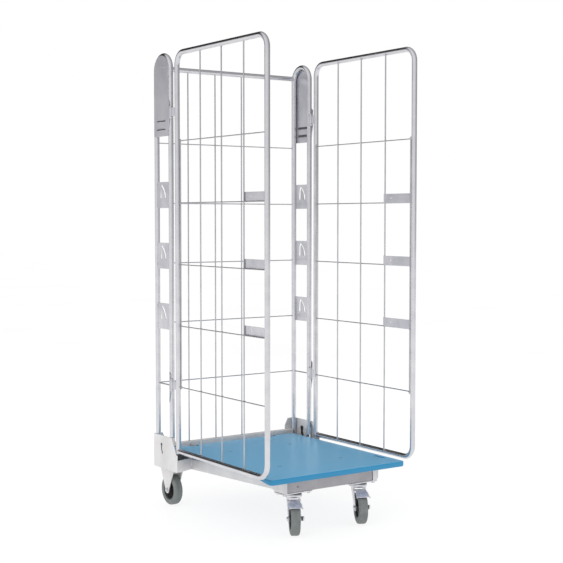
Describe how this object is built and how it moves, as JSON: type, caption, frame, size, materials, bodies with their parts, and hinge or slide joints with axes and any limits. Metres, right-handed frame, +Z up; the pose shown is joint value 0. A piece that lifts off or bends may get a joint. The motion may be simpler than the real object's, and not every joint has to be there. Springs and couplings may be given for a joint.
{
  "type": "roll cage container",
  "caption": "Nesting roll cage container: zinc tube and mesh sides that swing in, a blue deck that flips up, braked swivel casters in front and rigid casters behind.",
  "frame": {"origin": "on the floor, midway across the width and the depth", "axes": "+Z up, the open front faces -Y, +X to the right as seen from the front"},
  "size_m": [0.6587, 0.7694, 1.7],
  "materials": {
    "tube": "bright zinc plated tube",
    "wire": "bright zinc plated wire",
    "sheet": "zinc plated sheet, satin",
    "hardware": "zinc plated fasteners and forks",
    "pedal": "bright bluish zinc",
    "deck_plastic": "moulded blue plastic, slightly glossy",
    "tyre": "grey solid rubber",
    "hub": "black moulded plastic"
  },
  "bodies": {
    "base": {"front_beam": "sheet", "front_corner_brackets": "sheet", "rear_beam": "sheet", "side_rail_left": "sheet", "side_rail_right": "sheet", "corner_housing_left": "sheet", "corner_housing_right": "sheet", "column_left": "tube", "column_right": "tube", "column_top_plate_left": "sheet", "column_top_plate_right": "sheet", "hook_plates_left": "sheet", "hook_plates_right": "sheet", "column_rods": "wire", "back_top_rail": "tube", "back_upright_wires": "wire", "back_cross_wires": "wire", "hinge_brackets_left": "sheet", "hinge_brackets_right": "sheet", "gate_hinge_pins": "hardware", "deck_hinge_lugs": "sheet", "deck_pivot_pins": "hardware", "caster_bolts": "hardware", "caster_top_plates": "hardware", "caster_kingpins": "hardware", "caster_fork_rear_left": "hardware", "caster_fork_rear_right": "hardware", "caster_axles_rear": "hardware"},
    "gate_left": {"gate_frame_left": "tube", "gate_upright_wires_left": "wire", "gate_cross_wires_left": "wire", "gate_end_wires_left": "wire", "gate_plates_left": "sheet", "gate_hinge_eyes_left": "sheet"},
    "gate_right": {"gate_frame_right": "tube", "gate_upright_wires_right": "wire", "gate_cross_wires_right": "wire", "gate_end_wires_right": "wire", "gate_plates_right": "sheet", "gate_hinge_eyes_right": "sheet"},
    "deck": {"deck_panel": "deck_plastic", "deck_channels": "sheet", "deck_screws": "hardware", "deck_hinge_arms": "sheet", "deck_clips": "hardware"},
    "caster_swivel_left": {"caster_fork_front_left": "hardware", "caster_axle_front_left": "hardware"},
    "brake_left": {"brake_pedal_left": "pedal"},
    "wheel_front_left": {"hub_front_left": "hub", "tyre_front_left": "tyre"},
    "wheel_rear_left": {"hub_rear_left": "hub", "tyre_rear_left": "tyre"},
    "caster_swivel_right": {"caster_fork_front_right": "hardware", "caster_axle_front_right": "hardware"},
    "brake_right": {"brake_pedal_right": "pedal"},
    "wheel_front_right": {"hub_front_right": "hub", "tyre_front_right": "tyre"},
    "wheel_rear_right": {"hub_rear_right": "hub", "tyre_rear_right": "tyre"}
  },
  "joints": [
    {"name": "deck_flip", "type": "hinge", "parent": "base", "child": "deck", "pos_m": [0, 0.335, 0.204], "axis": [-1, 0, 0], "range_deg": [0, 90]},
    {"name": "gate_left_swing", "type": "hinge", "parent": "base", "child": "gate_left", "pos_m": [-0.3244, 0.2456, 0.469], "axis": [0, 0, 1], "range_deg": [0, 90]},
    {"name": "gate_right_swing", "type": "hinge", "parent": "base", "child": "gate_right", "pos_m": [0.3085, 0.241, 0.469], "axis": [0, 0, 1], "range_deg": [-90, 0]},
    {"name": "caster_left_swivel", "type": "hinge", "parent": "base", "child": "caster_swivel_left", "pos_m": [-0.1435, -0.281, 0.13], "axis": [0, 0, 1], "continuous": true},
    {"name": "wheel_front_left_spin", "type": "hinge", "parent": "caster_swivel_left", "child": "wheel_front_left", "pos_m": [-0.16095, -0.31249, 0.0575], "axis": [0.8746, -0.4848, 0], "continuous": true},
    {"name": "brake_left_press", "type": "hinge", "parent": "caster_swivel_left", "child": "brake_left", "pos_m": [-0.15029, -0.29324, 0.117], "axis": [-0.8746, 0.4848, 0], "range_deg": [0, 20]},
    {"name": "caster_right_swivel", "type": "hinge", "parent": "base", "child": "caster_swivel_right", "pos_m": [0.1435, -0.281, 0.13], "axis": [0, 0, 1], "continuous": true},
    {"name": "wheel_front_right_spin", "type": "hinge", "parent": "caster_swivel_right", "child": "wheel_front_right", "pos_m": [0.12772, -0.31336, 0.0575], "axis": [0.8988, -0.4384, 0], "continuous": true},
    {"name": "brake_right_press", "type": "hinge", "parent": "caster_swivel_right", "child": "brake_right", "pos_m": [0.13736, -0.29358, 0.117], "axis": [-0.8988, 0.4384, 0], "range_deg": [0, 20]},
    {"name": "wheel_rear_left_spin", "type": "hinge", "parent": "base", "child": "wheel_rear_left", "pos_m": [-0.28, 0.32725, 0.0575], "axis": [1, 0, 0], "continuous": true},
    {"name": "wheel_rear_right_spin", "type": "hinge", "parent": "base", "child": "wheel_rear_right", "pos_m": [0.28, 0.32725, 0.0575], "axis": [1, 0, 0], "continuous": true}
  ]
}
